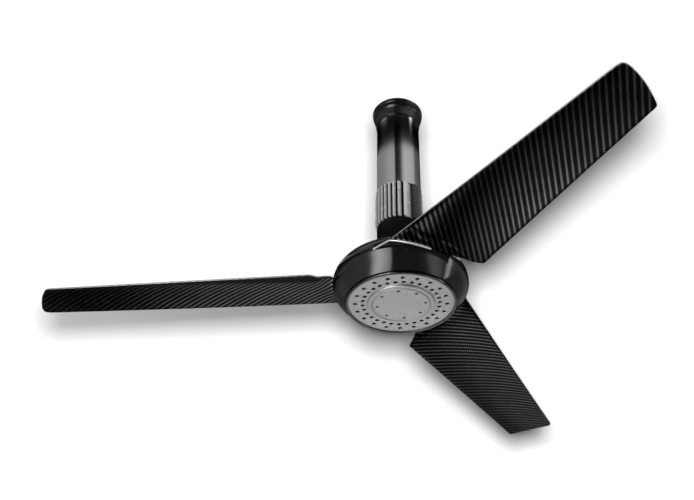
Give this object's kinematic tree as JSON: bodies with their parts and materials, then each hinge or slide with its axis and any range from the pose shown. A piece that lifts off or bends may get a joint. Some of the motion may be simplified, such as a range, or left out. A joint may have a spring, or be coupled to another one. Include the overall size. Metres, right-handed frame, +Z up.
{
  "type": "ceiling fan",
  "caption": "Ceiling fan with a round canopy, a stem tube, a finned heat sink, a shallow round motor housing with a perforated disc, and broad twisted blades.",
  "frame": {"origin": "centre of the ceiling plate's upper face, which lies on the ceiling", "axes": "+Z up into the ceiling and along the motor shaft; the fan hangs down along -Z; +X along the ceiling plate's length"},
  "size_m": [1.0499, 1.1386, 0.486],
  "materials": {
    "gloss_black": "gloss",
    "black_chrome": "polished",
    "fin_metal": "polished",
    "spun_aluminium": "satin",
    "polished_trim": "polished",
    "carbon": "satin",
    "zinc_steel": "satin",
    "screw_steel": "satin",
    "bearing_steel": "polished",
    "dark_steel": "satin",
    "lamination_steel": "matte",
    "copper_wire": "satin",
    "magnet": "matte",
    "circuit_board": "satin",
    "white_plastic": "satin"
  },
  "bodies": {
    "mount": {"ceiling_plate": "zinc_steel", "hanger_pin": "zinc_steel", "hanger_pin_clip": "zinc_steel", "canopy": "gloss_black", "canopy_screw_1": "screw_steel", "canopy_screw_2": "screw_steel", "downrod": "dark_steel", "tube_cover": "black_chrome", "tube_spacer": "white_plastic", "terminal_block": "white_plastic", "heat_sink": "fin_metal", "heat_sink_screw_1": "screw_steel", "heat_sink_screw_2": "screw_steel", "driver_board": "circuit_board", "driver_bracket": "zinc_steel", "neck_cover": "gloss_black", "rod_coupling": "dark_steel", "coupling_pin": "zinc_steel", "coupling_clip": "zinc_steel", "coupling_bolt": "zinc_steel", "motor_shaft": "zinc_steel", "shaft_nut": "zinc_steel", "stator_core": "lamination_steel", "stator_winding": "copper_wire"},
    "rotor": {"rotor_cup": "dark_steel", "rotor_end_plate": "dark_steel", "magnet_ring": "magnet", "upper_bearing": "bearing_steel", "lower_bearing": "bearing_steel", "upper_housing": "gloss_black", "lower_housing": "gloss_black", "bezel_ring": "black_chrome", "vent_plate": "spun_aluminium", "centre_plate": "spun_aluminium", "centre_screw_1": "screw_steel", "centre_screw_2": "screw_steel", "centre_screw_3": "screw_steel", "centre_screw_4": "screw_steel", "centre_screw_5": "screw_steel", "centre_screw_6": "screw_steel", "centre_screw_7": "screw_steel", "centre_screw_8": "screw_steel", "blade_1": "carbon", "blade_bracket_1": "dark_steel", "slot_trim_1": "polished_trim", "blade_2": "carbon", "blade_bracket_2": "dark_steel", "slot_trim_2": "polished_trim", "blade_3": "carbon", "blade_bracket_3": "dark_steel", "slot_trim_3": "polished_trim", "blade_screw_1": "screw_steel", "blade_screw_2": "screw_steel", "blade_screw_3": "screw_steel", "blade_screw_4": "screw_steel", "blade_screw_5": "screw_steel", "blade_screw_6": "screw_steel"}
  },
  "joints": [
    {"name": "rotor_spin", "type": "hinge", "parent": "mount", "child": "rotor", "pos_m": [0, 0, -0.4453], "axis": [0, 0, 1], "continuous": true}
  ]
}
